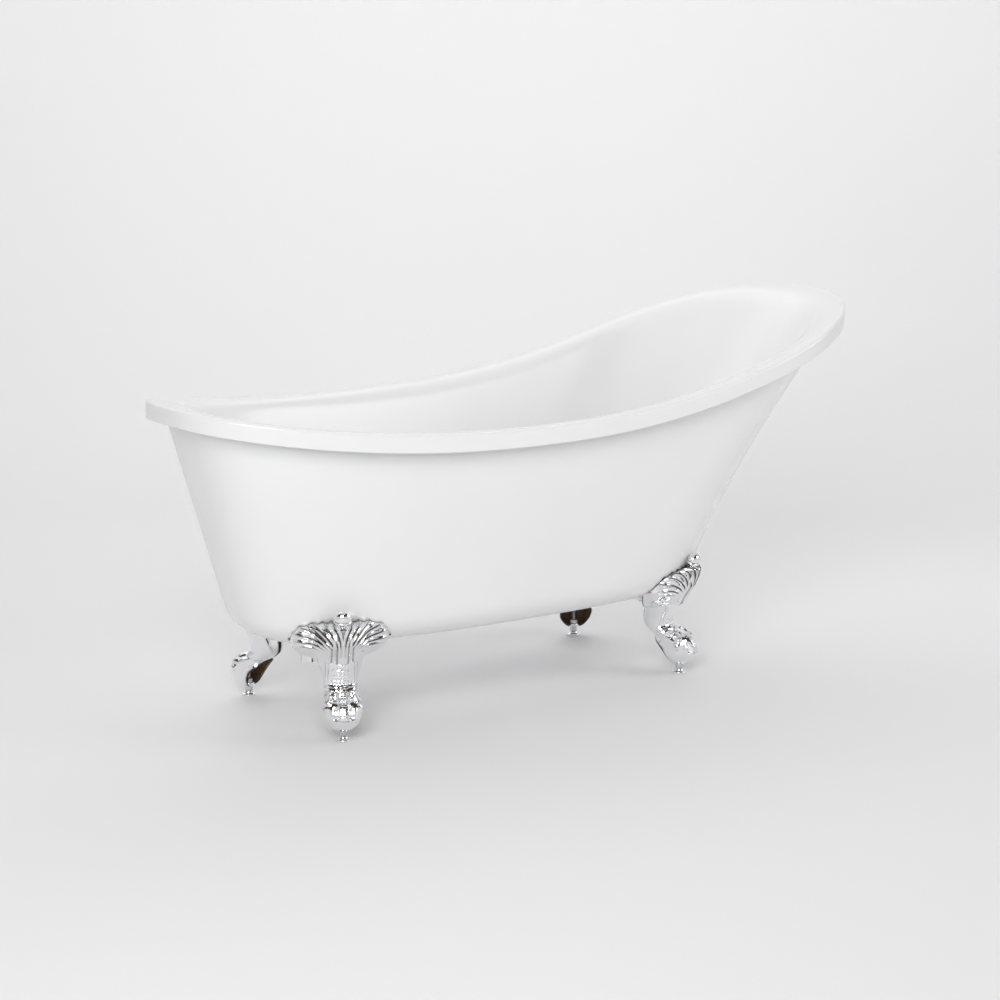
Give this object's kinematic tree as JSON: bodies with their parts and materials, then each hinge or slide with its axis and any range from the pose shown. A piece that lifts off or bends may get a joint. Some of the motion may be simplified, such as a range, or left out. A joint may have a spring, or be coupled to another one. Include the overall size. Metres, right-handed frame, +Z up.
{
  "type": "freestanding bathtub",
  "caption": "Freestanding slipper bathtub with a rolled rim, one raised end, an outer skirt, waste and overflow, on chrome ball-and-claw feet with levelling pads.",
  "frame": {"origin": "middle of the length and width, on the floor under the pads", "axes": "+X along the length towards the raised slipper end, +Y across, +Z up"},
  "size_m": [1.7002, 0.7104, 0.8299],
  "materials": {
    "white_acrylic": "gloss",
    "white_acrylic_skirt": "gloss",
    "chrome_foot": "polished",
    "chrome_pad": "polished",
    "chrome_waste": "polished",
    "zinc_steel": "zinc plated",
    "brass": "turned",
    "white_block": "moulded",
    "white_plastic": "moulded",
    "grey_pipe": "extruded",
    "black_rubber": "moulded",
    "board": "resin-sealed chipboard",
    "bearer_wood": "sawn softwood"
  },
  "bodies": {
    "tub": {"inner_shell": "white_acrylic", "outer_skirt": "white_acrylic_skirt", "base_board": "board", "low_end_bearer": "bearer_wood", "high_end_bearer": "bearer_wood", "lock_nuts": "zinc_steel", "foot_bolts": "zinc_steel", "foot_washers": "zinc_steel", "bolt_inserts": "brass", "waste_flange": "chrome_waste", "waste_seal": "black_rubber", "waste_under_seal": "black_rubber", "waste_body": "white_plastic", "tail_nut": "white_plastic", "tailpiece": "chrome_waste", "overflow_cover": "chrome_waste", "overflow_seal": "black_rubber", "overflow_housing": "white_plastic", "overflow_pipe": "grey_pipe", "front_left_foot": "chrome_foot", "front_left_block": "white_block", "back_left_foot": "chrome_foot", "back_left_block": "white_block", "front_right_foot": "chrome_foot", "front_right_block": "white_block", "back_right_foot": "chrome_foot", "back_right_block": "white_block"},
    "plug": {"plug": "chrome_waste", "plug_seal": "black_rubber"},
    "front_left_pad": {"front_left_pad": "chrome_pad"},
    "front_left_stem": {"front_left_stem": "zinc_steel"},
    "back_left_pad": {"back_left_pad": "chrome_pad"},
    "back_left_stem": {"back_left_stem": "zinc_steel"},
    "front_right_pad": {"front_right_pad": "chrome_pad"},
    "front_right_stem": {"front_right_stem": "zinc_steel"},
    "back_right_pad": {"back_right_pad": "chrome_pad"},
    "back_right_stem": {"back_right_stem": "zinc_steel"}
  },
  "joints": [
    {"name": "plug_lift", "type": "slide", "parent": "tub", "child": "plug", "axis": [0, 0, 1], "range_m": [0, 0.01]},
    {"name": "front_left_height", "type": "slide", "parent": "tub", "child": "front_left_pad", "axis": [0, 0, -1], "range_m": [0, 0.0115]},
    {"name": "front_left_screw", "type": "hinge", "parent": "front_left_pad", "child": "front_left_stem", "pos_m": [-0.565, -0.2, 0.02], "axis": [0, 0, 1], "range_deg": [0, 2879]},
    {"name": "back_left_height", "type": "slide", "parent": "tub", "child": "back_left_pad", "axis": [0, 0, -1], "range_m": [0, 0.0115]},
    {"name": "back_left_screw", "type": "hinge", "parent": "back_left_pad", "child": "back_left_stem", "pos_m": [-0.565, 0.2, 0.02], "axis": [0, 0, 1], "range_deg": [0, 2879]},
    {"name": "front_right_height", "type": "slide", "parent": "tub", "child": "front_right_pad", "axis": [0, 0, -1], "range_m": [0, 0.0115]},
    {"name": "front_right_screw", "type": "hinge", "parent": "front_right_pad", "child": "front_right_stem", "pos_m": [0.32, -0.2, 0.02], "axis": [0, 0, 1], "range_deg": [0, 2879]},
    {"name": "back_right_height", "type": "slide", "parent": "tub", "child": "back_right_pad", "axis": [0, 0, -1], "range_m": [0, 0.0115]},
    {"name": "back_right_screw", "type": "hinge", "parent": "back_right_pad", "child": "back_right_stem", "pos_m": [0.32, 0.2, 0.02], "axis": [0, 0, 1], "range_deg": [0, 2879]}
  ],
  "couplings": [
    {"joint": "front_left_screw", "follows": "front_left_height", "rad_per_m": 4188.8},
    {"joint": "back_left_screw", "follows": "back_left_height", "rad_per_m": 4188.8},
    {"joint": "front_right_screw", "follows": "front_right_height", "rad_per_m": 4188.8},
    {"joint": "back_right_screw", "follows": "back_right_height", "rad_per_m": 4188.8}
  ]
}
